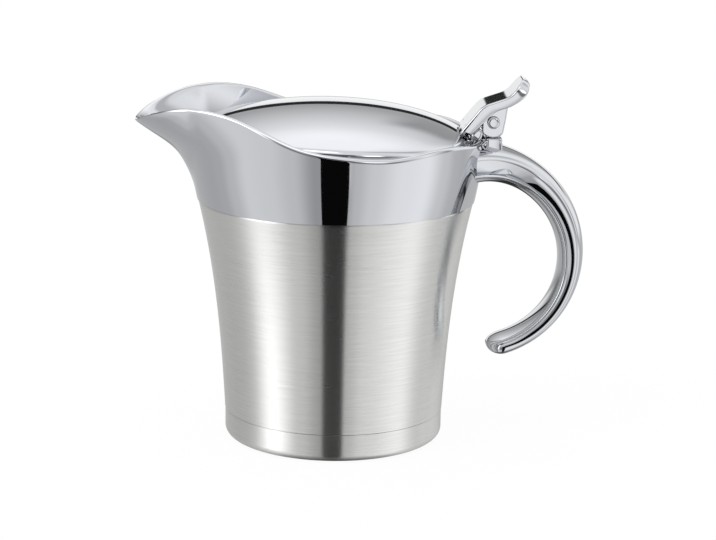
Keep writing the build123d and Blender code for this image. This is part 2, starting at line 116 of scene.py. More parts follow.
# The rim seen from the side: place as a share of the spout's reach or of the round rim, negative towards the
# spout, and height above the seam in millimetres
rim_line = [
    (-1.05, 25.6), (-0.985, 29.4), (-0.87, 34.0), (-0.65, 37.1), (-0.43, 34.0), (-0.2, 27.4),
    (0.1, 23.9), (0.4, 23.3), (0.84, 24.7), (0.95, 23.4), (1.1, 22.9),
]
spout_reach = rim_r + 21.1 * MM
rim_lowest = 12.0 * MM
rim_highest = 39.0 * MM

# Dip in the rim where the lever's neck passes, and the ledge that the lid rests on
notch_half_w = 9.0 * MM
notch_slope_w = 2.4 * MM
notch_z = pin_z - 8.4 * MM
ledge_w = 4.2 * MM
ledge_in_h = 2.0 * MM
ledge_out_h = 4.1 * MM
ledge_half_deg = 130

# Lid: the dome is the top of a flattened ball, dome_a wide and dome_b high from its middle
lid_nose_r = 30.0 * MM
lid_blend = 1.0 * MM
dome_x = -4.0 * MM
dome_a = lid_r + 7.6 * MM
dome_b = 20.0 * MM
lid_wall = 1.0 * MM
lid_rim_wall = 1.3 * MM

# Handle: an open C between an inner circle about its centre and an outer circle moved up. The cover takes
# cover_share of its depth, the shell the rest, and near the collar both grow into a wider root
handle_x = rim_r - 1.5 * MM
handle_in_r = 30.4 * MM
handle_z = seam_z + 7.8 * MM - handle_in_r
handle_out_r = 40.55 * MM
handle_out_dx = -0.85 * MM
handle_out_dz = 2.75 * MM
handle_half_w = 9.0 * MM
cover_share = 0.3
cover_inset = 0.3 * MM
handle_end_deg = -71.0
handle_tip = 6.5 * MM
swell_place = 0.55
swell_deg = 28.0
root_start_deg = 55.0
root_end_deg = 97.0
root_spread = 11.0 * MM
root_rise = 1.5 * MM
root_drop = 1.2 * MM
past_root_deg = 4.0
half_ring_points = 49
tuck_depth = 1.1 * MM

# Hinge post, the saddle between it and the rim, the tongue with the pin's eye, and the pin
post_x0 = rim_r + 0.4 * MM
post_x1 = post_x0 + 6.2 * MM
post_half_w = 7.4 * MM
post_top_z = pin_z - 5.9 * MM
post_edge = 0.5 * MM
post_squareness = 0.22
post_flare_power = 2.5
post_side_flare = 1.4
saddle_x0 = post_x0 - 2.4 * MM
saddle_x1 = post_x0 + 1.0 * MM
saddle_low_z = seam_z + 10.0 * MM
saddle_top_z = post_top_z - 0.6 * MM
saddle_half_w = post_half_w + 0.6 * MM
saddle_edge = 0.9 * MM
tongue_half_w = 4.0 * MM
tongue_edge = 0.3 * MM
eye_r = 2.4 * MM
pin_r = 1.2 * MM
pin_centre_r = 0.1 * MM
pin_flat_share = 0.55
pin_skirt_share = 0.3

# Thumb lever and cheeks: outline points as offsets from the pin in X and Z, and how far the bends in the
# lever's top are rounded, in millimetres
lever_half_w = 9.5 * MM
lever_tip_r = 6.0 * MM
lever_top = [(-11.5, -2.7), (-4.2, 6.3), (5.6, 9.6), (10.6, 16.0)]
lever_bend = 2.4
lever_under = [
    (-7.9, -4.2), (-5.3, -1.6), (-1.6, 2.2), (1.2, 4.4), (4.6, 5.6), (8.4, 7.5), (11.8, 10.6), (13.2, 14.3),
]
lever_stations = 90
lever_end_share = 0.2
cheek_in_y = 4.2 * MM
cheek_corner = 0.9 * MM
cheek_edge = 0.35 * MM
cheek_outline = [
    (4.4, 0.4), (5.2, 6.2), (0.0, 4.8), (-3.9, 1.0), (-4.0, -3.8), (-2.8, -4.9), (-1.6, -5.4), (0.0, -5.65),
    (1.6, -5.4), (3.5, -4.4),
]

# Knuckle: a leaning oval bar below the lever, in front of the post
knuckle_dx = -6.0 * MM
knuckle_dz = -5.0 * MM
knuckle_rx = 1.9 * MM
knuckle_rz = 2.9 * MM
knuckle_lean = math.radians(-30)
knuckle_half_w = 8.3 * MM
knuckle_edge = 0.8 * MM

# Points nearer than weld_gap are joined, edges shorter than shortest_edge go, and an edge that turns by more
# than sharp_turn is drawn sharp
weld_gap = 1e-6
shortest_edge = 1e-7
sharp_turn = math.radians(35)


def linear(hex_colour):
    """An sRGB hex colour as linear red, green, blue and alpha."""
    channels = [int(hex_colour[i:i + 2], 16) / 255 for i in (1, 3, 5)]
    return [c / 12.92 if c <= 0.04045 else ((c + 0.055) / 1.055) ** 2.4 for c in channels] + [1.0]


class JugSizes(bpy.types.PropertyGroup):
    """Sizes of the edges, blends and brush lines that the finished surfaces add to the solids"""
    wall: FloatProperty(
        name="Collar wall", description="Thickness of the collar's wall, measured level",
        default=2.2 * MM, unit="LENGTH")
    lip_rise: FloatProperty(
        name="Lip rise", description="Height of the rounding on the collar's lip",
        default=1.3 * MM, unit="LENGTH")
    shoulder: FloatProperty(
        name="Cup shoulder", description="Rounding at the top of the brushed wall, below the collar",
        default=1.0 * MM, unit="LENGTH")
    corner_blend: FloatProperty(
        name="Corner blend", description="Width of the soft change from the round mouth to the spout's flanks",
        default=9.0 * MM, unit="LENGTH")
    lid_edge: FloatProperty(
        name="Lid edge", description="Rounding where the lid's dome turns down",
        default=1.5 * MM, unit="LENGTH")
    lever_edge: FloatProperty(
        name="Lever edge", description="Rounding along the thumb lever's edges",
        default=0.7 * MM, unit="LENGTH")
    post_flare: FloatProperty(
        name="Post flare", description="How far the hinge post spreads into the handle at its foot",
        default=4.0 * MM, unit="LENGTH")
    brush_spacing: FloatProperty(
        name="Brush spacing", description="Height of one brush line on the cup",
        default=0.36 * MM, unit="LENGTH")
    brush_length: FloatProperty(
        name="Brush length", description="Length of one brush line around the cup",
        default=14.0 * MM, unit="LENGTH")


class JugColours(bpy.types.PropertyGroup):
    """Colours of the jug's metals"""
    chrome: FloatVectorProperty(
        name="Chrome", description="Reflection colour of the chrome plate",
        default=linear("#c6c8cc")[:3], subtype="COLOR")
    brushed: FloatVectorProperty(
        name="Brushed steel", description="Reflection colour of the brushed cup",
        default=linear("#e3e3e1")[:3], subtype="COLOR")
    brushed_dark: FloatVectorProperty(
        name="Brush lines", description="Reflection colour at the bottom of the brush lines",
        default=linear("#d8d8d6")[:3], subtype="COLOR")
    satin: FloatVectorProperty(
        name="Satin steel", description="Reflection colour of the drawn inner cup",
        default=linear("#c6c6c4")[:3], subtype="COLOR")


class JugStudio(bpy.types.PropertyGroup):
    """Camera, floor and light"""
    lens: FloatProperty(
        name="Lens", description="Focal length on a 36 mm wide sensor",
        default=111.8, unit="CAMERA")
    distance: FloatProperty(
        name="Distance", description="From the camera to the point that it looks at",
        default=0.83, unit="LENGTH")
    pitch: FloatProperty(
        name="Pitch", description="How far the camera looks down",
        default=math.radians(13.27), subtype="ANGLE")
    azimuth: FloatProperty(
        name="Azimuth", description="How far the camera stands towards the handle's side of square on",
        default=math.radians(-1.0), subtype="ANGLE")
    roll: FloatProperty(
        name="Roll", description="How far the camera is turned about its own line of sight",
        default=math.radians(0.87), subtype="ANGLE")
    tent_light: FloatProperty(
        name="Tent light", description="Strength of the tent that the metal sees",
        default=1.32)
    floor_white: FloatProperty(
        name="White of the floor", description="Share of plain white in the floor as the camera sees it",
        default=0.94, min=0.0, max=1.0, subtype="FACTOR")


def curve_through(points):
    """Natural cubic curve through (position, value) points, returned as a function of the position."""
    place, height = np.array(points, float).T
    count = len(place)
    gap = np.diff(place)
    slope = np.diff(height) / gap
    matrix = np.eye(count)
    right = np.zeros(count)
    for i in range(1, count - 1):
        matrix[i, i - 1:i + 2] = gap[i - 1], 2 * (gap[i - 1] + gap[i]), gap[i]
        right[i] = 6 * (slope[i] - slope[i - 1])
    bend = np.linalg.solve(matrix, right)

    def value(at):
        i = np.clip(np.searchsorted(place, at) - 1, 0, count - 2)
        t = at - place[i]
        first = slope[i] - gap[i] * (2 * bend[i] + bend[i + 1]) / 6
        return height[i] + t * first + t ** 2 * bend[i] / 2 + t ** 3 * (bend[i + 1] - bend[i]) / (6 * gap[i])

    return value


def path_through(points, count):
    """Points spread evenly along a smooth path through the given points."""
    points = np.array(points, float)
    steps = np.r_[0, np.cumsum(np.linalg.norm(np.diff(points, axis=0), axis=1))]
    at = np.linspace(0, steps[-1], count)
    return np.stack([curve_through(np.c_[steps, points[:, k]])(at) for k in range(points.shape[1])], 1)


def spread_evenly(path, count):
    """The given path cut into evenly spaced points."""
    steps = np.r_[0, np.cumsum(np.linalg.norm(np.diff(path, axis=0), axis=1))]
    at = np.linspace(0, steps[-1], count)
    return np.stack([np.interp(at, steps, path[:, k]) for k in range(path.shape[1])], 1)


def smooth_step(value):
    """0 below 0, 1 above 1, and an even S between."""
    t = np.clip(value, 0, 1)
    return t * t * (3 - 2 * t)


def stack(*columns):
    """Joins x, y and z, each a number or an array, into points."""
    return np.stack(np.broadcast_arrays(*columns), -1)


def build_piece(name, grids, body, slot, replaced):
    """Makes one mesh object from grids of points and puts it on its body in place of the CAD nodes.

    Each grid is (points, hollow). Its rows are closed rings. In a hollow one the last ring joins the first, and
    in any other the two end rings are capped.
    """
    mesh_data = bmesh.new()
    for points, hollow in grids:
        rows, columns = points.shape[:2]
        corners = [[mesh_data.verts.new(points[i, j]) for j in range(columns)] for i in range(rows)]
        for i in range(rows if hollow else rows - 1):
            for j in range(columns):
                low, high = corners[i], corners[(i + 1) % rows]
                mesh_data.faces.new((low[j], low[(j + 1) % columns], high[(j + 1) % columns], high[j]))
        if not hollow:
            for end in (corners[0], corners[-1]):
                mesh_data.faces.new(end)
    bmesh.ops.remove_doubles(mesh_data, verts=mesh_data.verts, dist=weld_gap)
    bmesh.ops.dissolve_degenerate(mesh_data, edges=mesh_data.edges, dist=shortest_edge)
    bmesh.ops.recalc_face_normals(mesh_data, faces=mesh_data.faces)
    mesh = bpy.data.meshes.new(name)
    mesh_data.to_mesh(mesh)
    mesh_data.free()
    mesh.polygons.foreach_set("use_smooth", [True] * len(mesh.polygons))
    mesh.set_sharp_from_angle(angle=sharp_turn)
    piece = bpy.data.objects.new(name, mesh)
    bpy.context.scene.collection.objects.link(piece)
    mesh.materials.append(bpy.data.materials[slot])
    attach(piece, body)
    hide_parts(*replaced)


def revolved(profile):
    """Hollow grid of a closed profile of (radius, z) points turned about the cup's axis."""
    profile = np.array(profile)
    turns = np.linspace(0, 2 * math.pi, 240, endpoint=False)
    return stack(profile[:, :1] * np.cos(turns), profile[:, :1] * np.sin(turns), profile[:, 1:]), True


def shell_radius(z):
    """Outer radius of the brushed wall."""
    t = np.clip((z - base_line_z) / (seam_z - base_line_z), 0, 1)
    return cup_low_r + (seam_r - cup_low_r) * (taper_share * t + (1 - taper_share) * t ** flare_power)


def mouth(turns, radius, stand_out, inset, nose, blend):
    """Round mouth joined softly to a smaller nose towards the spout, at the given angles of its normal.

    Reach is how far out the line lies along its normal. The greater of the two circles' reaches is taken, with
    the change between them softened over a width that goes to nothing where the nose hardly stands out.
    """
    nose_x = radius + stand_out - nose
    nose_reach = nose - nose_x * np.cos(turns)
    nose_turn = nose_x * np.sin(turns)
    half = (nose_reach - radius) / 2
    width = blend * stand_out / (4 * blend + 2 * stand_out) + 1e-9
    soft = np.sqrt(half ** 2 + width ** 2)
    reach = (nose_reach + radius) / 2 + soft - width ** 2 / (np.abs(half) + soft) - inset
    turn = nose_turn / 2 * (1 + half / soft)
    return reach * np.cos(turns) - turn * np.sin(turns), reach * np.sin(turns) + turn * np.cos(turns)


def even_turns(radius, stand_out, nose, blend, count):
    """Angles of the normal that spread the points of a mouth evenly along it."""
    dense = np.linspace(0, 2 * math.pi, 14401)
    x, y = mouth(dense, radius, stand_out, 0, nose, blend)
    length = np.r_[0, np.cumsum(np.hypot(np.diff(x), np.diff(y)))]
    return np.interp(np.linspace(0, length[-1], count, endpoint=False), length, dense)


stand_out_curve = curve_through(spout_profile)
rim_curve = curve_through(rim_line)


def collar_radius(height):
    """Outer radius of the round part of the collar at a height above the seam."""
    t = np.minimum(1.0, height / collar_h)
    return rim_r - (rim_r - skirt_r) * (1 - t) ** 2


def collar_point(turns, height, inset, blend):
    """Point of the collar's wall, drawn in from its outer face by the inset."""
    out = np.maximum(stand_out_curve(height / MM), least_stand_out) * MM
    x, y = mouth(turns, collar_radius(height), out, inset, nose_r, blend)
    return stack(x, y, seam_z + height)


def rim_height(x, y):
    """Height of the rim above the seam, with the dip behind the lid where the lever's neck passes."""
    line = rim_curve(np.where(x < 0, x / spout_reach, x / rim_r)) * MM
    dip = smooth_step((notch_half_w + notch_slope_w / 2 - np.abs(y)) / notch_slope_w) * (x > 0)
    return line - dip * np.maximum(line - (notch_z - seam_z), 0)


def rim_edge(turns, blend):
    """Height above the seam at which each line up the collar's wall meets the rim, found by halving."""
    low = np.full(len(turns), rim_lowest)
    high = np.full(len(turns), rim_highest)
    for _ in range(40):
        middle = (low + high) / 2
        point = collar_point(turns, middle, 0, blend)
        under = middle < rim_height(point[:, 0], point[:, 1])
        low = np.where(under, middle, low)
        high = np.where(under, high, middle)
    return (low + high) / 2


class JUG_OT_materials(bpy.types.Operator):
    """Make the jug's materials and give the hidden CAD pieces theirs"""
    bl_idname = "jug.materials"
    bl_label = "Materials"

    def execute(self, context):
        make_materials(context.scene.jug_sizes, context.scene.jug_colours)
        slots = {part["node"]: part["material_slot"] for part in frame["record"]["subparts"]}
        for node, piece in frame["nodes"].items():
            piece.data.materials.clear()
            piece.data.materials.append(bpy.data.materials[slots[node]])
        return {"FINISHED"}


class JUG_OT_cup(bpy.types.Operator):
    """Brushed outer wall and bottom cap of the cup"""
    bl_idname = "jug.cup"
    bl_label = "Cup"

    def execute(self, context):
        shoulder = context.scene.jug_sizes.shoulder
        curl = np.linspace(0, math.pi / 2, 9)[1:]
        wall_z = np.linspace(base_line_z, seam_z - shoulder, 90)
        curl_z = seam_z - shoulder * (1 - np.sin(curl))
        inner_z = np.linspace(seam_z - shell_wall, base_line_z, 40)
        wall = [*zip(shell_radius(wall_z), wall_z),
                *zip(shell_radius(curl_z) - shoulder / 2 * (1 - np.cos(curl)), curl_z)]
        neck = [(neck_r, seam_z), (neck_r, neck_top_z), (neck_r - shell_wall, neck_top_z),
                (neck_r - shell_wall, seam_z - shell_wall)]
        inner = [*zip(shell_radius(inner_z) - shell_wall, inner_z)]
        build_piece("brushed_wall", [revolved(wall + neck + inner)], "jug", "brushed_shell", ["outer_shell"])

        corner = [(cap_flat_r + (cap_r - cap_flat_r) * math.sin(a), cap_corner_h * (1 - math.cos(a)))
                  for a in np.linspace(0, math.pi / 2, 16)]
        profile = [
            (centre_r, 0), *[(cap_flat_r * k, 0) for k in (0.3, 0.6, 0.9)], *corner,
            (cap_r, base_line_z - cap_edge), (cap_r - cap_edge, base_line_z - cap_edge / 4),
            (cap_r - cap_edge, base_line_z), (spigot_r, base_line_z), (spigot_r, spigot_z),
            (spigot_r - cap_wall, spigot_z), (spigot_r - cap_wall, cap_corner_h + cap_floor_z),
            (cap_flat_r - cap_wall, cap_floor_z), (centre_r, cap_floor_z),
        ]
        build_piece("bottom_cap", [revolved(profile)], "jug", "brushed_shell", ["base_cap"])
        return {"FINISHED"}


class JUG_OT_collar(bpy.types.Operator):
    """Chrome collar with its spout, rounded lip, inner wall and the lid's ledge"""
    bl_idname = "jug.collar"
    bl_label = "Collar"

    def execute(self, context):
        sizes = context.scene.jug_sizes
        blend = sizes.corner_blend
        # The columns of points are spread evenly round the mouth where the spout stands out about half way
        middle_stand_out = 14.0 * MM
        turns = even_turns(rim_r, middle_stand_out, nose_r, blend, 480)
        edge = rim_edge(turns, blend) - sizes.lip_rise
        # Up the outer face, over the lip, down the inner face to the throat, then in and down round the neck
        rows = [collar_point(turns, edge * k, 0, blend) for k in np.linspace(0, 1, 80)]
        for a in np.linspace(0, math.pi, 11)[1:-1]:
            inset = sizes.wall / 2 * (1 - math.cos(a))
            rows.append(collar_point(turns, edge + sizes.lip_rise * math.sin(a), inset, blend))
        floor_h = throat_z + throat_t - seam_z
        for k in np.linspace(0, 1, 50):
            rows.append(collar_point(turns, edge + (floor_h - edge) * k, sizes.wall, blend))
        ring = stack(throat_r * np.cos(turns), throat_r * np.sin(turns), throat_z + throat_t)
        rows += [rows[-1] + (ring - rows[-1]) * k for k in (0.25, 0.5, 0.75, 1)]
        for radius, z in ((throat_r, throat_z), (bore_r, throat_z), (bore_r, seam_z)):
            rows.append(stack(radius * np.cos(turns), radius * np.sin(turns), z))
        around = np.radians(np.linspace(-ledge_half_deg, ledge_half_deg, 160))
        inner_r = rim_r - sizes.wall - ledge_w
        outer_r = rim_r - sizes.wall / 2
        radii = [inner_r, outer_r, outer_r, inner_r]
        heights = [ledge_z, ledge_z, ledge_z - ledge_out_h, ledge_z - ledge_in_h]
        ledge = stack(np.outer(np.cos(around), radii), np.outer(np.sin(around), radii), heights)
        build_piece("collar_and_spout", [(np.array(rows), True), (ledge, False)], "jug", "chrome_plate",
                    ["collar"])
        return {"FINISHED"}


def handle_radii(angle):
    """Parting radius and outer radius of the handle at an angle about its centre."""
    along = handle_out_dx * math.cos(angle) + handle_out_dz * math.sin(angle)
    outer = along + math.sqrt(handle_out_r ** 2 - handle_out_dx ** 2 - handle_out_dz ** 2 + along ** 2)
    return handle_in_r + cover_share * (outer - handle_in_r), outer


def handle_ring(degrees_up, outwards, share):
    """Half oval of the handle's shell or cover at an angle, closed along the parting line.

    The shell's sides swell past the parting line's width before they close over the top. Share shrinks the ring
    towards the parting line, for the rounded free end.
    """
    angle = math.radians(degrees_up)
    parting, outer = handle_radii(angle)
    grow = max(0.0, (degrees_up - root_start_deg) / (root_end_deg - root_start_deg)) ** 2
    half_w = handle_half_w + root_spread * grow
    top = outer + root_rise * grow
    if not outwards:
        half_w -= cover_inset
        top = handle_in_r - root_drop * grow
    tuck = math.radians(swell_deg) if outwards else 0
    widest = (top - parting) * (swell_place if outwards else 0)
    bend = np.linspace(-tuck, math.pi + tuck, half_ring_points)
    lift = np.where(bend < 0, bend, np.where(bend > math.pi, math.pi - bend, 0))
    rise = widest / math.sin(tuck) if outwards else 0
    y = -half_w * share * np.cos(bend)
    above = np.where(lift < 0, rise * np.sin(lift), (top - parting - widest) * np.sin(bend))
    r = parting + (widest + above) * share
    # More points back along the parting line close the ring
    back = np.linspace(0.98, -0.98, 9) * half_w * share * math.cos(tuck)
    y = np.r_[y, back]
    r = np.r_[r, np.full(len(back), parting)]
    return stack(handle_x + r * math.cos(angle), y, handle_z + r * math.sin(angle))


def tucked(points):
    """Points that would come out inside the collar are moved back into the middle of its wall."""
    radius = np.hypot(points[..., 0], points[..., 1])
    height = points[..., 2] - seam_z
    middle = collar_radius(np.clip(height, 0, collar_h)) - tuck_depth
    inside = (radius < middle) & (points[..., 0] > 0) & (height > 0)
    scale = np.where(inside, middle / np.maximum(radius, MM), 1)
    return stack(points[..., 0] * scale, points[..., 1] * scale, points[..., 2])


def handle_grid(outwards):
    """All the rings of one half of the handle, from the rounded free end into the collar."""
    tip_l = handle_tip if outwards else handle_tip - cover_inset
    parting = handle_radii(math.radians(handle_end_deg))[0]
    tip_deg = math.degrees(tip_l / parting)
    rings = []
    for a in np.linspace(0.02, 1, 22)[:-1] * math.pi / 2:
        rings.append(handle_ring(handle_end_deg - tip_deg * math.cos(a), outwards, math.sin(a)))
    for degrees_up in np.linspace(handle_end_deg, root_end_deg + past_root_deg, 200):
        rings.append(handle_ring(degrees_up, outwards, 1))
    return tucked(np.array(rings)), False


def slab(outline, half_y, middle_y, edge):
    """Plate with the given outline of (x, z) points, lying along Y, its edges rounded."""
    outline = np.array(outline, float)
    ahead = np.roll(outline, -1, 0) - outline
    behind = outline - np.roll(outline, 1, 0)
    along = ahead / np.linalg.norm(ahead, axis=1)[:, None] + behind / np.linalg.norm(behind, axis=1)[:, None]
    along /= np.linalg.norm(along, axis=1)[:, None]
    area = np.sum(outline[:, 0] * np.roll(outline[:, 1], -1) - np.roll(outline[:, 0], -1) * outline[:, 1])
    inward = np.c_[-along[:, 1], along[:, 0]] * np.sign(area)
    rows = []
    for side in (-1, 1):
        turn = np.linspace(0, math.pi / 2, 6)[::-side]
        for a in turn:
            ring = outline + inward * edge * (1 - math.cos(a))
            rows.append(stack(ring[:, 0], middle_y + side * (half_y - edge + edge * math.sin(a)), ring[:, 1]))
    return np.array(rows), False


def rounded(outline, radius, count=6, closed=True):
    """Outline with each corner replaced by a short curve; an open one keeps its two ends."""
    outline = np.array(outline, float)
    points = []
    corners = list(zip(np.roll(outline, 1, 0), outline, np.roll(outline, -1, 0)))
    for before, corner, after in corners if closed else corners[1:-1]:
        start = corner + (before - corner) * min(0.45, radius / np.linalg.norm(before - corner))
        end = corner + (after - corner) * min(0.45, radius / np.linalg.norm(after - corner))
        for t in np.linspace(0, 1, count):
            points.append((1 - t) ** 2 * start + 2 * t * (1 - t) * corner + t ** 2 * end)
    return np.array(points if closed else [outline[0], *points, outline[-1]])


class JUG_OT_handle(bpy.types.Operator):
    """Both halves of the handle, and the hinge post, saddle and tongue on its root"""
    bl_idname = "jug.handle"
    bl_label = "Handle"

    def execute(self, context):
        flare = context.scene.jug_sizes.post_flare
        foot_z = handle_z + handle_radii(math.pi / 2)[0]
        # The post's section is a square with rounded corners, and it spreads at the foot
        turns = np.linspace(0, 2 * math.pi, 72, endpoint=False)
        side_x = np.sign(np.cos(turns)) * np.abs(np.cos(turns)) ** post_squareness
        side_y = np.sign(np.sin(turns)) * np.abs(np.sin(turns)) ** post_squareness
        middle_x = (post_x0 + post_x1) / 2
        half_x = (post_x1 - post_x0) / 2
        shaft_top_z = post_top_z - post_edge
        rows = []
        for k in np.linspace(0, 1, 28):
            out = flare * (1 - k) ** post_flare_power
            z = foot_z + (shaft_top_z - foot_z) * k
            rows.append(stack(middle_x + (half_x + out) * side_x,
                              (post_half_w + post_side_flare * out) * side_y, z))
        for a in np.linspace(0, math.pi / 2, 6)[1:]:
            inset = post_edge * (1 - math.cos(a))
            rows.append(stack(middle_x + (half_x - inset) * side_x, (post_half_w - inset) * side_y,
                              shaft_top_z + post_edge * math.sin(a)))
        post = tucked(np.array(rows)), False
        saddle = slab([
            (saddle_x0, saddle_low_z), (saddle_x0, notch_z + 0.1 * MM),
            ((saddle_x0 + post_x0) / 2, notch_z + 0.6 * MM), (post_x0, saddle_top_z), (saddle_x1, saddle_top_z),
            (saddle_x1, saddle_low_z)], saddle_half_w, 0, saddle_edge)
        over = [(pin_x + eye_r * math.cos(a), pin_z + eye_r * math.sin(a)) for a in np.linspace(math.pi, 0, 24)]
        tongue = slab([(pin_x - eye_r, foot_z), *over, (pin_x + eye_r, foot_z)], tongue_half_w, 0, tongue_edge)
        build_piece("handle_and_post", [handle_grid(True), post, saddle, tongue], "jug", "chrome_plate",
                    ["handle_shell"])
        build_piece("handle_inside", [handle_grid(False)], "jug", "chrome_plate", ["handle_cover"])
        return {"FINISHED"}


def dome_height(x, y, drop):
    """Height of the lid's dome, or of the face that lies below it by the drop."""
    a = dome_a - drop
    share = np.clip(((x - dome_x) ** 2 + y ** 2) / a ** 2, 0, 0.999)
    return dome_top_z - drop - dome_b * (1 - np.sqrt(1 - share))


class JUG_OT_lid(bpy.types.Operator):
    """Domed lid cover with its turned-down rim"""
    bl_idname = "jug.lid"
    bl_label = "Lid"

    def execute(self, context):
        edge = context.scene.jug_sizes.lid_edge
        out = -lid_front_x - lid_r
        turns = even_turns(lid_r, out, lid_nose_r, lid_blend, 360)

        def outline(inset):
            x, y = mouth(turns, lid_r, out, inset, lid_nose_r, lid_blend)
            return stack(x, y)

        def dome_rows(inset, drop, shares):
            rim = outline(inset)
            for k in shares:
                point = [dome_x, 0] + (rim - [dome_x, 0]) * k
                yield stack(point[:, 0], point[:, 1], dome_height(point[:, 0], point[:, 1], drop))

        # Out over the dome, round its edge, down the rim, and back under the dome
        rows = list(dome_rows(edge, 0, np.linspace(centre_share, 1, 90)))
        start, side = rows[-1], outline(0)
        corner = stack(side[:, 0], side[:, 1], dome_height(side[:, 0], side[:, 1], 0))
        end = corner - [0, 0, edge]
        for t in np.linspace(0, 1, 9)[1:]:
            rows.append((1 - t) ** 2 * start + 2 * t * (1 - t) * corner + t ** 2 * end)
        rows.append(stack(side[:, 0], side[:, 1], lid_rim_z))
        inner = outline(lid_rim_wall)
        rows.append(stack(inner[:, 0], inner[:, 1], lid_rim_z))
        rows += list(dome_rows(lid_rim_wall, lid_wall, np.linspace(1, centre_share, 30)))
        build_piece("lid_dome", [(np.array(rows), True)], "lid", "chrome_plate", ["lid_cover"])
        return {"FINISHED"}


class JUG_OT_lever(bpy.types.Operator):
    """Thumb lever with its hinge cheeks and knuckle, and the hinge pin"""
    bl_idname = "jug.lever"
    bl_label = "Thumb lever and pin"

    def execute(self, context):
        edge = context.scene.jug_sizes.lever_edge
        pin = np.array([pin_x, pin_z])
        top = pin + spread_evenly(rounded(lever_top, lever_bend, 8, closed=False), lever_stations) * MM
        under = pin + path_through(lever_under, lever_stations) * MM
        middle = (top + under) / 2
        length = np.r_[0, np.cumsum(np.linalg.norm(np.diff(middle, axis=0), axis=1))]
        to_tip = length[-1] - length
        rings = []
        for i in range(lever_stations):
            # The plate narrows round its tip, and over the last edge's length it also thins
            short = max(0.0, lever_tip_r - to_tip[i])
            half_w = lever_half_w - lever_tip_r + math.sqrt(lever_tip_r ** 2 - short ** 2)
            half_t = np.linalg.norm(top[i] - under[i]) / 2
            up = (top[i] - under[i]) / (2 * half_t)
            thin = math.sqrt(max(lever_end_share ** 2, 1 - max(0.0, 1 - to_tip[i] / edge) ** 2))
            half_t *= thin
            corner = edge * thin
            turn = np.linspace(0, math.pi / 2, 6)
            quarter = np.c_[half_w - corner + corner * np.sin(turn), half_t - corner + corner * np.cos(turn)]
            ring = np.r_[quarter, quarter[::-1] * [1, -1], quarter * [-1, -1], quarter[::-1] * [-1, 1]]
            flat = np.linspace(-0.9, 0.9, 13) * (half_w - corner)
            crown = np.c_[flat, np.full(len(flat), half_t)]
            ring = np.r_[ring, crown]
            across, rise = ring.T
            rings.append(stack(middle[i][0] + up[0] * rise, across, middle[i][1] + up[1] * rise))
        plate = np.array(rings), False
        outline = rounded(pin + np.array(cheek_outline) * MM, cheek_corner)
        half_cheek = (post_half_w - cheek_in_y) / 2
        cheeks = [slab(outline, half_cheek, side * (cheek_in_y + half_cheek), cheek_edge) for side in (-1, 1)]
        around = np.linspace(0, 2 * math.pi, 48, endpoint=False)
        oval = np.c_[knuckle_rx * np.cos(around), knuckle_rz * np.sin(around)]
        lean = np.array([[math.cos(knuckle_lean), math.sin(knuckle_lean)],
                         [-math.sin(knuckle_lean), math.cos(knuckle_lean)]])
        knuckle = slab(oval @ lean + pin + [knuckle_dx, knuckle_dz], knuckle_half_w, 0, knuckle_edge)
        build_piece("thumb_lever_and_cheeks", [plate, *cheeks, knuckle], "lid", "chrome_plate",
                    ["thumb_lever"])

        # Each head stands on its cheek: a short upright skirt, a rounded edge and a flat middle
        head_h = pin_end_y - post_half_w
        flat = pin_flat_share * pin_head_r
        profile = [(pin_centre_r, pin_end_y)]
        for a in np.linspace(0, math.pi / 2, 12):
            rise = pin_skirt_share + (1 - pin_skirt_share) * math.cos(a)
            profile.append((flat + (pin_head_r - flat) * math.sin(a), post_half_w + head_h * rise))
        profile += [(pin_head_r, post_half_w), (pin_r, post_half_w)]
        profile = [(r, -y) for r, y in profile] + profile[::-1]
        rows = [stack(pin_x + r * np.cos(around), y, pin_z + r * np.sin(around)) for r, y in profile]
        build_piece("hinge_pin_domed", [(np.array(rows), False)], "lid", "chrome_plate", ["hinge_pin"])
        return {"FINISHED"}


def add_node(tree, kind, inputs=None, **settings):
    """Adds a node, sets its properties, and sets or links its sockets."""
    node = tree.nodes.new(kind)
    for key, value in settings.items():
        setattr(node, key, value)
    for key, value in (inputs or {}).items():
        if isinstance(value, bpy.types.NodeSocket):
            tree.links.new(value, node.inputs[key])
        else:
            node.inputs[key].default_value = value
    return node


def new_material(name):
    """Empty node material and its tree. A plain one of that name that came with the frame is emptied."""
    material = bpy.data.materials.get(name) or bpy.data.materials.new(name)
    material.use_nodes = True
    tree = material.node_tree
    tree.nodes.clear()
    return material, tree


def chrome_plate(colours):
    """Bright chrome over polished zinc."""
    # To the eye a cool, clear mirror. Polishing leaves waves about 14 mm long that bend its reflections a
    # little, and wiping leaves a haze in patches of about 3 mm that takes the last sharpness off some of them
    wave_l = 14.0 * MM
    haze_l = 3.0 * MM
    tree = new_material("chrome_plate")[1]
    place = add_node(tree, "ShaderNodeTexCoord").outputs["Object"]
    waves = add_node(tree, "ShaderNodeTexNoise", {"Vector": place, "Scale": 1 / wave_l, "Detail": 0.0})
    bump = add_node(tree, "ShaderNodeBump", {
        "Height": waves.outputs["Fac"], "Strength": 0.06, "Distance": 0.4 * MM})
    haze = add_node(tree, "ShaderNodeTexNoise", {"Vector": place, "Scale": 1 / haze_l, "Detail": 3.0})
    rough = add_node(tree, "ShaderNodeMapRange", {
        "Value": haze.outputs["Fac"], "To Min": 0.025, "To Max": 0.05})
    shader = add_node(tree, "ShaderNodeBsdfPrincipled", {
        "Base Color": [*colours.chrome, 1], "Metallic": 1.0, "Roughness": rough.outputs["Result"],
        "Normal": bump.outputs["Normal"]})
    add_node(tree, "ShaderNodeOutputMaterial", {"Surface": shader.outputs["BSDF"]})


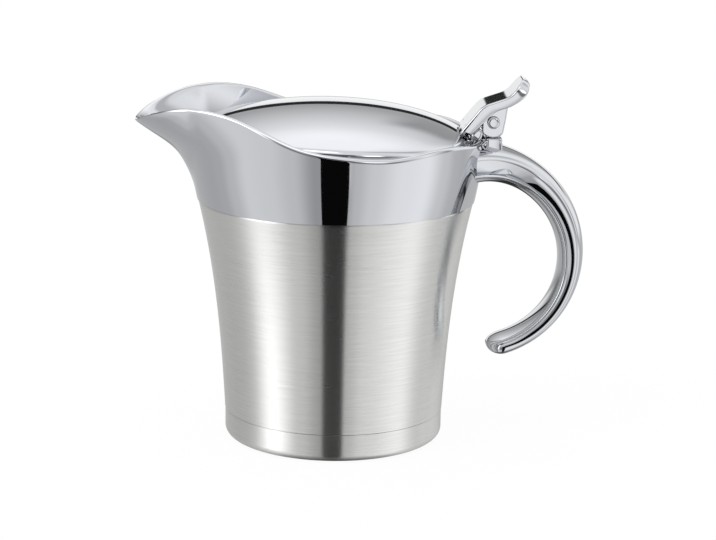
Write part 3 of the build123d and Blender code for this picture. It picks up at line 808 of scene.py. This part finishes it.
def brushed_steel(name, colour, dark, line_h, line_l, roughness, stretch):
    """Stainless steel brushed around the cup, with lines of the given height and length."""
    # To the eye pale and silky: the level lines smear each reflection up and down into a soft upright band, and
    # show as a fine grain. Broader bands, several lines high, lie a little unevenly under them
    band_l = line_l / 0.4
    band_h = line_h / 0.12
    tree = new_material(name)[1]
    place = add_node(tree, "ShaderNodeTexCoord").outputs["Object"]
    lines_at = add_node(tree, "ShaderNodeMapping", {
        "Vector": place, "Scale": (1 / line_l, 1 / line_l, 1 / line_h)}).outputs["Vector"]
    lines = add_node(tree, "ShaderNodeTexNoise", {"Vector": lines_at, "Scale": 1.0, "Detail": 2.0})
    bands_at = add_node(tree, "ShaderNodeMapping", {
        "Vector": place, "Scale": (1 / band_l, 1 / band_l, 1 / band_h)}).outputs["Vector"]
    bands = add_node(tree, "ShaderNodeTexNoise", {"Vector": bands_at, "Scale": 1.0, "Detail": 1.0})
    share = add_node(tree, "ShaderNodeMapRange", {
        "Value": lines.outputs["Fac"], "From Min": 0.2, "From Max": 0.8})
    tone = add_node(tree, "ShaderNodeMix", {
        "Factor": share.outputs["Result"], "A": [*dark, 1], "B": [*colour, 1]}, data_type="RGBA")
    rough = add_node(tree, "ShaderNodeMapRange", {
        "Value": share.outputs["Result"], "To Min": roughness * 1.02, "To Max": roughness * 0.985})
    bump = add_node(tree, "ShaderNodeBump", {
        "Height": bands.outputs["Fac"], "Strength": 0.1, "Distance": 0.01 * MM})
    # The tangent runs round with the lines, and a quarter turn from it smears reflections across them
    tangent = add_node(tree, "ShaderNodeTangent", direction_type="RADIAL", axis="Z")
    shader = add_node(tree, "ShaderNodeBsdfPrincipled", {
        "Base Color": tone.outputs["Result"], "Metallic": 1.0, "Roughness": rough.outputs["Result"],
        "Anisotropic": stretch, "Anisotropic Rotation": 0.25, "Normal": bump.outputs["Normal"],
        "Tangent": tangent.outputs["Tangent"]})
    add_node(tree, "ShaderNodeOutputMaterial", {"Surface": shader.outputs["BSDF"]})


def plain_metal(name, hex_colour, roughness, grain):
    """Turned or stamped metal of a small hidden part."""
    # To the eye a soft shine, broken up by the faint grain that the tool leaves
    tree = new_material(name)[1]
    place = add_node(tree, "ShaderNodeTexCoord").outputs["Object"]
    marks = add_node(tree, "ShaderNodeTexNoise", {"Vector": place, "Scale": 1 / grain, "Detail": 2.0})
    rough = add_node(tree, "ShaderNodeMapRange", {
        "Value": marks.outputs["Fac"], "To Min": roughness * 0.8, "To Max": roughness * 1.2})
    shader = add_node(tree, "ShaderNodeBsdfPrincipled", {
        "Base Color": linear(hex_colour), "Metallic": 1.0, "Roughness": rough.outputs["Result"]})
    add_node(tree, "ShaderNodeOutputMaterial", {"Surface": shader.outputs["BSDF"]})


def soft_moulding(name, hex_colour, dark_hex, roughness, grain):
    """Moulded silicone, plastic or foam."""
    # To the eye matt and even, with a fine mottle that the mould or the cells leave
    tree = new_material(name)[1]
    place = add_node(tree, "ShaderNodeTexCoord").outputs["Object"]
    mottle = add_node(tree, "ShaderNodeTexNoise", {"Vector": place, "Scale": 1 / grain, "Detail": 3.0})
    tone = add_node(tree, "ShaderNodeMix", {
        "Factor": mottle.outputs["Fac"], "A": linear(dark_hex), "B": linear(hex_colour)}, data_type="RGBA")
    bump = add_node(tree, "ShaderNodeBump", {
        "Height": mottle.outputs["Fac"], "Strength": 0.15, "Distance": 0.1 * MM})
    shader = add_node(tree, "ShaderNodeBsdfPrincipled", {
        "Base Color": tone.outputs["Result"], "Roughness": roughness, "Normal": bump.outputs["Normal"]})
    add_node(tree, "ShaderNodeOutputMaterial", {"Surface": shader.outputs["BSDF"]})


def make_materials(sizes, colours):
    """All the jug's materials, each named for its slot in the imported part."""
    chrome_plate(colours)
    # Belt-brushed stainless wall and cap. Real lines are about 0.05 mm high, far finer than a pixel of the
    # picture, so they are drawn brush_spacing high, 0.36 mm, to show
    brushed_steel("brushed_shell", colours.brushed, colours.brushed_dark, sizes.brush_spacing,
                  sizes.brush_length, roughness=0.27, stretch=1.0)
    # Deep-drawn stainless inner cup and lid plate: duller, with long faint marks drawn 1 mm high, coarser than
    # the real 0.2 mm, to show
    brushed_steel("satin_liner", colours.satin, colours.brushed_dark, 1.0 * MM, 40.0 * MM,
                  roughness=0.3, stretch=0.3)
    # Rolled stainless screws, plain grey, and the turned brass bush, warm yellow
    plain_metal("screw_steel", "#b8b8b8", roughness=0.3, grain=0.5 * MM)
    plain_metal("bush_brass", "#c9a45c", roughness=0.3, grain=0.5 * MM)
    # Moulded silicone seals: pale grey and soft looking
    soft_moulding("silicone", "#d2d2ce", "#c4c4c0", roughness=0.6, grain=0.8 * MM)
    # Moulded polypropylene spacer: whiter, with a slight sheen
    soft_moulding("spacer_plastic", "#dcdcd8", "#d2d2ce", roughness=0.5, grain=1.0 * MM)
    # Rigid foam disc in the lid: cream and chalky
    soft_moulding("foam", "#e8e2cf", "#d8d0ba", roughness=0.9, grain=0.6 * MM)


# Studio tent as the metal sees it: how bright its walls are by compass angle, in degrees. 0 is at the camera,
# and the handle's side is positive
tent_levels = [
    (-180, 0.52), (-150, 0.45), (-120, 0.44), (-105, 0.47), (-92, 0.58), (-75, 0.76), (-56, 0.73), (-35, 0.62),
    (-16, 0.36), (9, 0.44), (16, 0.58), (30, 0.73), (55, 0.92), (75, 0.97), (95, 0.68), (108, 0.54), (118, 0.5),
    (127, 0.54), (140, 0.5), (160, 0.44), (180, 0.52),
]

# Patches laid over those walls in order. Each edge is its angle and how far it fades to each side, in degrees:
# left and right by compass angle, back by the angle from the camera's side whichever way round, low and high by
# height above the level. A patch is even, or passes from a level at one height to a level at another
tent_patches = {
    "upper sides": {
        "low": (-5, 5), "levels": ((12, 0.2), (42, 0.85))},
    "wall behind the handle": {
        "left": (100, 7), "right": (146, 7), "low": (-5, 5), "high": (62, 5), "level": 0.95},
    "backdrop": {
        "back": (152, 12), "low": (-3, 3), "high": (14, 3), "level": 0.82},
    "ceiling behind": {
        "back": (167, 14), "low": (12, 3), "high": (62, 3), "levels": ((12, 0.3), (52, 1.26))},
    "grey flag behind the handle": {
        "left": (155, 3), "right": (171, 3), "low": (14, 4), "high": (29, 4), "level": 0.34},
    "shade over the wall": {
        "left": (90, 8), "right": (118, 6), "low": (44, 5), "high": (75, 5), "level": 0.56},
    "lamp over the backdrop": {
        "back": (142, 16), "low": (46, 9), "high": (74, 9), "level": 1.14},
    "under the table": {
        "high": (-55, 8), "level": 0.12},
    "dark room behind the table": {
        "back": (166, 8), "high": (-19, 3.5), "level": 0.03},
    "left soft box": {
        "left": (-76, 17), "right": (-53, 17), "low": (-3, 5), "high": (42, 10), "level": 3.9},
    "right soft box": {
        "left": (58, 17), "right": (86, 17), "low": (-3, 5), "high": (42, 10), "level": 1.0},
    "white card by the lens": {
        "left": (-7, 5), "right": (9, 5), "low": (-22, 6), "high": (14, 6), "level": 0.95},
    "white card beside the lens": {
        "left": (25, 3), "right": (42, 4), "low": (20, 4), "high": (34, 4), "level": 1.8},
    "dark cloth over the lens": {
        "left": (-14, 4), "right": (19, 3), "low": (16, 3), "high": (36, 4), "level": 0.06},
    "soft box overhead": {
        "left": (-50, 8), "right": (10, 8), "low": (56, 5), "high": (78, 4), "level": 1.7},
    "gap over the backdrop": {
        "back": (140, 8), "low": (8.8, 0.4), "high": (13.2, 0.4), "level": 0.02},
}

# Near black card upright in front of the jug
card_left = -49.0 * MM
card_right = 38.5 * MM
card_low = -300.0 * MM
card_high = 160.0 * MM
card_y = -250.0 * MM
card_level = 0.004

# Floor just below the cup's standing face, and the point that the camera looks at
floor_size = 6.0
floor_z = -0.2 * MM
look_at = Vector((8.6, 0, 62.35)) * MM


def make_world(scene):
    """Plain white for the camera, and for the jug's metal a light tent with patches in it.

    White all round would leave the chrome flat and white, without the reflections that shape it.
    """
    world = bpy.data.worlds.new("studio_tent")
    scene.world = world
    world.use_nodes = True
    tree = world.node_tree
    tree.nodes.clear()
    # Compass angle and height above the level, in degrees, of the direction looked in
    way = add_node(tree, "ShaderNodeTexCoord").outputs["Generated"]
    parts = add_node(tree, "ShaderNodeSeparateXYZ", {"Vector": way}).outputs
    near = add_node(tree, "ShaderNodeMath", {0: parts["Y"], 1: -1.0}, operation="MULTIPLY").outputs["Value"]
    turn = add_node(tree, "ShaderNodeMath", {0: parts["X"], 1: near}, operation="ARCTAN2").outputs["Value"]
    compass = add_node(tree, "ShaderNodeMath", {0: turn}, operation="DEGREES").outputs["Value"]
    spread = add_node(tree, "ShaderNodeMath", {0: compass}, operation="ABSOLUTE").outputs["Value"]
    lift = add_node(tree, "ShaderNodeMath", {0: parts["Z"]}, operation="ARCSINE").outputs["Value"]
    height = add_node(tree, "ShaderNodeMath", {0: lift}, operation="DEGREES").outputs["Value"]

    around = add_node(tree, "ShaderNodeMapRange", {"Value": compass, "From Min": -180.0, "From Max": 180.0})
    walls = add_node(tree, "ShaderNodeValToRGB", {"Fac": around.outputs["Result"]})
    ramp = walls.color_ramp
    ramp.interpolation = "EASE"
    for degrees_round, level in tent_levels[1:-1]:
        ramp.elements.new(degrees_round / 360 + 0.5).color = (level, level, level, 1)
    ramp.elements[0].color = (tent_levels[0][1],) * 3 + (1,)
    ramp.elements[-1].color = (tent_levels[-1][1],) * 3 + (1,)
    tone = add_node(tree, "ShaderNodeRGBToBW", {"Color": walls.outputs["Color"]}).outputs["Val"]

    # What each kind of edge measures, and on which side of it the patch lies
    measures = {"left": (compass, 1), "right": (compass, -1), "back": (spread, 1), "low": (height, 1),
                "high": (height, -1)}
    for name, patch in tent_patches.items():
        share = 1.0
        for edge, (value, side) in measures.items():
            if edge not in patch:
                continue
            place, soft = patch[edge]
            fade = add_node(tree, "ShaderNodeMapRange", {
                "Value": value, "From Min": place - side * soft, "From Max": place + side * soft},
                interpolation_type="SMOOTHSTEP")
            share = add_node(tree, "ShaderNodeMath", {0: share, 1: fade.outputs["Result"]},
                             operation="MULTIPLY").outputs["Value"]
        if "level" in patch:
            level = patch["level"]
        else:
            (low, low_level), (high, high_level) = patch["levels"]
            level = add_node(tree, "ShaderNodeMapRange", {
                "Value": height, "From Min": low, "From Max": high, "To Min": low_level,
                "To Max": high_level}).outputs["Result"]
        tone = add_node(tree, "ShaderNodeMix", {"Factor": share, "A": tone, "B": level},
                        label=name).outputs["Result"]

    tint = add_node(tree, "ShaderNodeCombineColor", {"Red": tone, "Green": tone, "Blue": tone})
    tent = add_node(tree, "ShaderNodeBackground", {
        "Color": tint.outputs["Color"], "Strength": scene.jug_studio.tent_light})
    white = add_node(tree, "ShaderNodeBackground", {"Color": (1, 1, 1, 1), "Strength": 1.0})
    seen = add_node(tree, "ShaderNodeLightPath").outputs["Is Camera Ray"]
    sky = add_node(tree, "ShaderNodeMixShader", {0: seen, 1: tent.outputs["Background"],
                                                 2: white.outputs["Background"]})
    add_node(tree, "ShaderNodeOutputWorld", {"Surface": sky.outputs["Shader"]})


def make_floor(scene):
    """Floor of pale matt paper."""
    # To the eye nearly white, with only the jug's soft shadow left in it
    bpy.ops.mesh.primitive_plane_add(size=floor_size, location=(0, 0, floor_z))
    floor = bpy.context.object
    floor.name = "floor"
    floor.visible_glossy = False
    material, tree = new_material("pale_floor")
    matt = add_node(tree, "ShaderNodeBsdfDiffuse", {"Color": linear("#f4f4f4")})
    glow = add_node(tree, "ShaderNodeEmission", {"Color": (1, 1, 1, 1), "Strength": 1.0})
    seen = add_node(tree, "ShaderNodeLightPath").outputs["Is Camera Ray"]
    share = add_node(tree, "ShaderNodeMath", {0: seen, 1: scene.jug_studio.floor_white}, operation="MULTIPLY")
    mix = add_node(tree, "ShaderNodeMixShader", {
        0: share.outputs["Value"], 1: matt.outputs["BSDF"], 2: glow.outputs["Emission"]})
    add_node(tree, "ShaderNodeOutputMaterial", {"Surface": mix.outputs["Shader"]})
    floor.data.materials.append(material)


def make_black_card(scene):
    """Upright black card near the jug, which only its metal sees."""
    # To the eye the black strip down the collar and the cup. It glows very faintly, so that it is evenly dark
    mesh = bpy.data.meshes.new("black_card")
    mesh.from_pydata([(card_left, card_y, card_low), (card_right, card_y, card_low),
                      (card_right, card_y, card_high), (card_left, card_y, card_high)], [], [(0, 1, 2, 3)])
    card = bpy.data.objects.new("black_card", mesh)
    scene.collection.objects.link(card)
    material, tree = new_material("black_card")
    glow = add_node(tree, "ShaderNodeEmission", {"Color": (1, 1, 1, 1), "Strength": card_level})
    add_node(tree, "ShaderNodeOutputMaterial", {"Surface": glow.outputs["Emission"]})
    mesh.materials.append(material)
    card.visible_camera = False
    card.visible_diffuse = False
    card.visible_shadow = False


def make_camera(scene):
    """Camera at the photograph's place."""
    studio = scene.jug_studio
    turn = Matrix.Rotation(studio.azimuth, 3, "Z")
    ahead = turn @ Vector((0, math.cos(studio.pitch), -math.sin(studio.pitch)))
    level = turn @ Vector((1, 0, 0))
    up = level.cross(ahead)
    side = level * math.cos(studio.roll) + up * math.sin(studio.roll)
    crown = up * math.cos(studio.roll) - level * math.sin(studio.roll)
    data = bpy.data.cameras.new("photo_camera")
    data.lens = studio.lens
    data.sensor_width = 36
    data.sensor_fit = "HORIZONTAL"
    data.clip_start = 0.01
    camera = bpy.data.objects.new("photo_camera", data)
    place = turn @ look_at - ahead * studio.distance
    camera.matrix_world = Matrix((
        (side.x, crown.x, -ahead.x, place.x), (side.y, crown.y, -ahead.y, place.y),
        (side.z, crown.z, -ahead.z, place.z), (0, 0, 0, 1)))
    scene.collection.objects.link(camera)
    scene.camera = camera


class JUG_OT_stage(bpy.types.Operator):
    """Camera, floor, light tent and black card"""
    bl_idname = "jug.stage"
    bl_label = "Stage"

    def execute(self, context):
        make_camera(context.scene)
        make_floor(context.scene)
        make_world(context.scene)
        make_black_card(context.scene)
        context.scene.view_settings.view_transform = "Standard"
        return {"FINISHED"}


steps = (JUG_OT_stage, JUG_OT_materials, JUG_OT_cup, JUG_OT_collar, JUG_OT_handle, JUG_OT_lid, JUG_OT_lever)


class JUG_PT_panel(bpy.types.Panel):
    """Sizes, colours and steps of the sauce jug"""
    bl_idname = "JUG_PT_panel"
    bl_label = "Sauce jug"
    bl_space_type = "VIEW_3D"
    bl_region_type = "UI"
    bl_category = "Jug"

    def draw(self, context):
        column = self.layout.column()
        for group in (context.scene.jug_sizes, context.scene.jug_colours, context.scene.jug_studio):
            for name in group.__annotations__:
                column.prop(group, name)
        for step in steps:
            column.operator(step.bl_idname)


groups = {"jug_sizes": JugSizes, "jug_colours": JugColours, "jug_studio": JugStudio}
classes = (*groups.values(), *steps, JUG_PT_panel)


def register():
    """Registers the classes and puts the property groups on the scene."""
    for item in classes:
        bpy.utils.register_class(item)
    for name, group in groups.items():
        setattr(bpy.types.Scene, name, PointerProperty(type=group))


def unregister():
    """Takes them off again."""
    for name in groups:
        delattr(bpy.types.Scene, name)
    for item in reversed(classes):
        bpy.utils.unregister_class(item)


def main():
    """Builds the whole jug."""
    register()
    bpy.ops.jug.stage()
    bpy.ops.jug.materials()
    bpy.ops.jug.cup()
    bpy.ops.jug.collar()
    bpy.ops.jug.handle()
    bpy.ops.jug.lid()
    bpy.ops.jug.lever()


if __name__ == "__main__":
    main()
